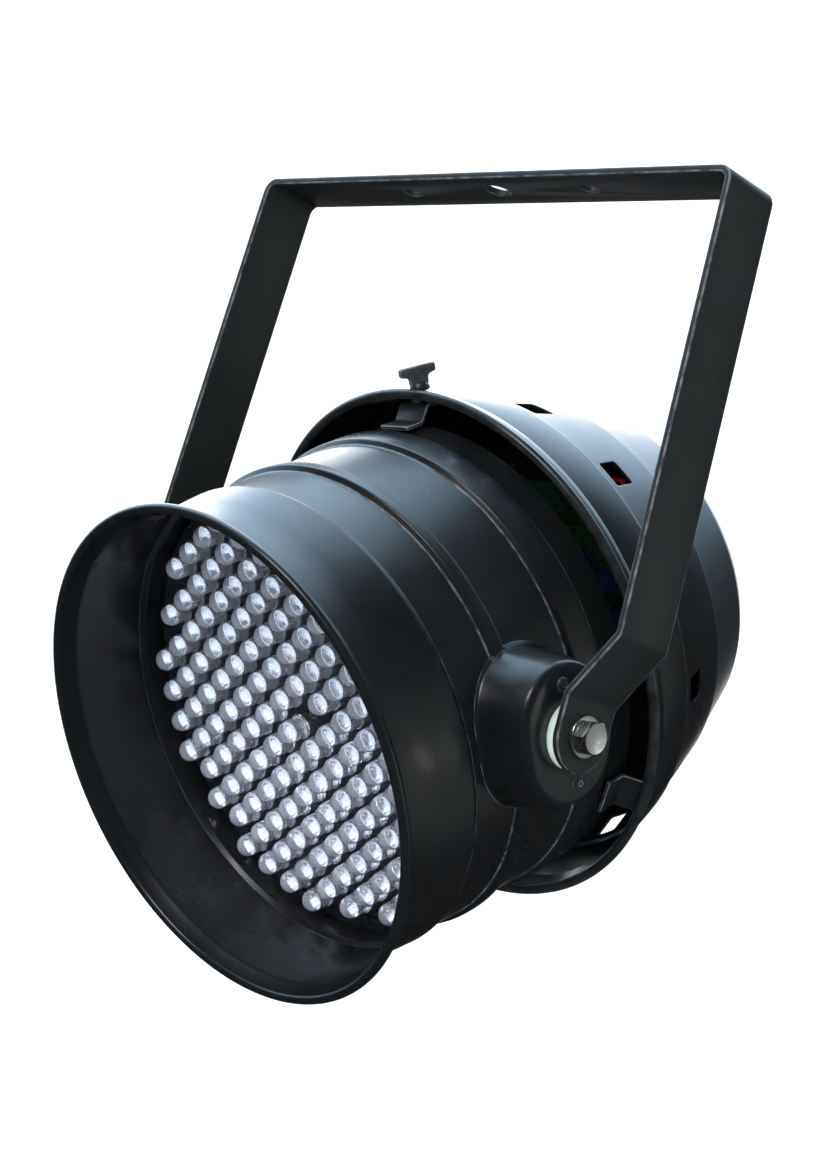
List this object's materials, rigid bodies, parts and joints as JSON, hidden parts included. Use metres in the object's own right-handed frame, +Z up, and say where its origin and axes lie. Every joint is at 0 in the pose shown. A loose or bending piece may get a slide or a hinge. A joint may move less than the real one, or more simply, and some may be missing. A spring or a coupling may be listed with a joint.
{
  "type": "par can light",
  "caption": "Short LED par can stage light: spun can with a rolled front rim, a board of clear round LEDs, a vented rear cap with controls, and a strap yoke to hang it by.",
  "frame": {"origin": "centre of the hanging hole, on the top face of the yoke's bar", "axes": "+Z up out of the yoke's bar, X along the two tilt pivots, and the light is thrown towards -Y and 35 degrees down at rest"},
  "size_m": [0.3014, 0.3115, 0.3704],
  "materials": {
    "can_paint": "satin black stove enamel",
    "cap_paint": "satin black stove enamel",
    "yoke_paint": "matt black powder coat",
    "bracket_paint": "matt black paint",
    "panel_paint": "matt black powder coat",
    "zinc": "bright zinc plate",
    "black_steel": "black oxide",
    "rivet_black": "painted black",
    "friction_fibre": "moulded friction washer",
    "led_clear": "water-clear epoxy",
    "board_black": "black solder mask",
    "board_green": "green solder mask",
    "connector_plastic": "moulded connector plastic",
    "transistor_body": "moulded package",
    "capacitor_sleeve": "sleeved aluminium can",
    "window_red": "smoked red window",
    "display_black": "display block",
    "socket_body": "black die-cast shell",
    "contact_silver": "silvered contacts",
    "button_plastic": "moulded button",
    "gland_nylon": "black nylon",
    "fuse_glass": "glass fuse",
    "laminations": "varnished laminations",
    "winding": "taped winding",
    "bare_aluminium": "extruded",
    "terminal_plastic": "terminal block",
    "brass": "plain brass"
  },
  "bodies": {
    "yoke": {"yoke": "yoke_paint", "friction_washers": "friction_fibre", "outer_washers": "zinc"},
    "head": {"barrel": "can_paint", "ear_right": "bracket_paint", "ear_left": "bracket_paint", "pivot_nut_plates": "zinc", "ear_rivets": "rivet_black", "cap_catch_bracket": "bracket_paint", "cap_rest_brackets": "bracket_paint", "cap_bracket_rivets": "rivet_black", "led_board": "board_black", "leds": "led_clear", "led_board_brackets": "bare_aluminium", "led_board_screws": "zinc", "centre_screw": "zinc", "board_spacer": "brass", "board_headers": "connector_plastic", "driver_board": "board_green", "driver_screw": "zinc", "driver_transistors": "transistor_body", "driver_capacitors": "capacitor_sleeve", "driver_connector": "connector_plastic"},
    "rear_cap": {"rear_cap": "cap_paint", "cap_nut": "zinc", "rear_panel": "panel_paint", "panel_screws": "black_steel", "display_window": "window_red", "display_module": "display_black", "control_board": "board_green", "control_posts": "brass", "key_switches": "connector_plastic", "signal_in_socket": "socket_body", "signal_in_pins": "contact_silver", "signal_out_socket": "socket_body", "signal_out_insert": "socket_body", "signal_out_contacts": "contact_silver", "socket_screws": "black_steel", "gland_body": "gland_nylon", "gland_dome_nut": "gland_nylon", "gland_locknut": "gland_nylon", "fuse_holder": "gland_nylon", "fuse": "fuse_glass", "supply_board": "board_green", "supply_posts": "brass", "transformer_core": "laminations", "transformer_winding": "winding", "supply_capacitors": "capacitor_sleeve", "supply_heatsink": "bare_aluminium", "mains_terminal": "terminal_plastic"},
    "thumb_screw": {"thumb_screw": "black_steel"},
    "pivot_bolt_right": {"pivot_bolt_right": "zinc"},
    "pivot_bolt_left": {"pivot_bolt_left": "zinc"},
    "release_tab": {"release_tab": "contact_silver"},
    "fuse_cap": {"fuse_cap": "gland_nylon"},
    "menu_button_1": {"menu_button_1": "button_plastic"},
    "menu_button_2": {"menu_button_2": "button_plastic"},
    "menu_button_3": {"menu_button_3": "button_plastic"},
    "menu_button_4": {"menu_button_4": "button_plastic"}
  },
  "joints": [
    {"name": "head_tilt", "type": "hinge", "parent": "yoke", "child": "head", "pos_m": [0, 0, -0.235], "axis": [1, 0, 0], "continuous": true},
    {"name": "pivot_bolt_right_turn", "type": "hinge", "parent": "head", "child": "pivot_bolt_right", "pos_m": [0.13, 0, -0.235], "axis": [1, 0, 0], "range_deg": [0, 360]},
    {"name": "pivot_bolt_left_turn", "type": "hinge", "parent": "head", "child": "pivot_bolt_left", "pos_m": [-0.13, 0, -0.235], "axis": [-1, 0, 0], "range_deg": [0, 360]},
    {"name": "cap_slide", "type": "slide", "parent": "head", "child": "rear_cap", "axis": [0, 0.8192, 0.5736], "range_m": [0, 0.06]},
    {"name": "thumb_screw_turn", "type": "hinge", "parent": "rear_cap", "child": "thumb_screw", "pos_m": [0, -0.01313, -0.10014], "axis": [0, -0.5736, 0.8192], "range_deg": [0, 360]},
    {"name": "fuse_cap_turn", "type": "hinge", "parent": "rear_cap", "child": "fuse_cap", "pos_m": [-0.022, 0.16433, -0.17853], "axis": [0, 0.8192, 0.5736], "range_deg": [0, 90]},
    {"name": "release_tab_push", "type": "slide", "parent": "rear_cap", "child": "release_tab", "axis": [0, -0.8192, -0.5736], "range_m": [0, 0.0012], "stiffness_N_per_m": 800, "springref_m": -0.001},
    {"name": "menu_button_1_push", "type": "slide", "parent": "rear_cap", "child": "menu_button_1", "axis": [0, -0.8192, -0.5736], "range_m": [0, 0.001], "stiffness_N_per_m": 500, "springref_m": -0.001},
    {"name": "menu_button_2_push", "type": "slide", "parent": "rear_cap", "child": "menu_button_2", "axis": [0, -0.8192, -0.5736], "range_m": [0, 0.001], "stiffness_N_per_m": 500, "springref_m": -0.001},
    {"name": "menu_button_3_push", "type": "slide", "parent": "rear_cap", "child": "menu_button_3", "axis": [0, -0.8192, -0.5736], "range_m": [0, 0.001], "stiffness_N_per_m": 500, "springref_m": -0.001},
    {"name": "menu_button_4_push", "type": "slide", "parent": "rear_cap", "child": "menu_button_4", "axis": [0, -0.8192, -0.5736], "range_m": [0, 0.001], "stiffness_N_per_m": 500, "springref_m": -0.001}
  ]
}
